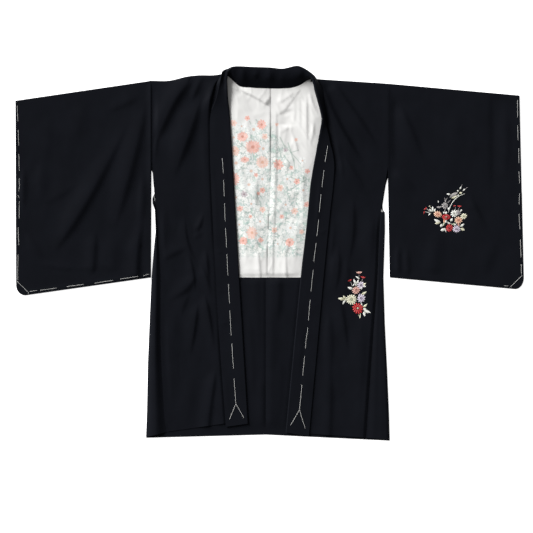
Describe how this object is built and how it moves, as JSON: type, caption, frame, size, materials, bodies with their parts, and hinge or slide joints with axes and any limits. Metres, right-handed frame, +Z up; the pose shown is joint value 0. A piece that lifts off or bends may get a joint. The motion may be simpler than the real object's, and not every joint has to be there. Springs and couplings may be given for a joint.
{
  "type": "haori jacket",
  "caption": "Woman's black silk crepe haori jacket with open front, folded collar, square sleeves, side gussets and light lined back, laid flat on its back.",
  "frame": {"origin": "on the surface the jacket lies on, under the middle of its outline", "axes": "+Z up out of the garment's front; +Y towards the neck; +X towards the wearer's left sleeve"},
  "size_m": [1.2712, 0.9357, 0.026],
  "materials": {
    "black_crepe": "fine-grained black silk crepe, soft low sheen",
    "white_lining": "smooth white silk with a soft painted flower ground",
    "basting_thread": "loose white cotton basting thread",
    "embroidery": "silk satin stitch in reds, pinks, lilac, cream and grey"
  },
  "bodies": {
    "root": {"body_right": "black_crepe", "body_left": "black_crepe", "sleeve_right": "black_crepe", "sleeve_left": "black_crepe", "gusset_right": "black_crepe", "gusset_left": "black_crepe", "collar_neck_right": "black_crepe", "collar_neck_left": "black_crepe", "collar_front_right": "black_crepe", "collar_front_left": "black_crepe", "lining_right": "white_lining", "lining_left": "white_lining"}
  },
  "joints": []
}
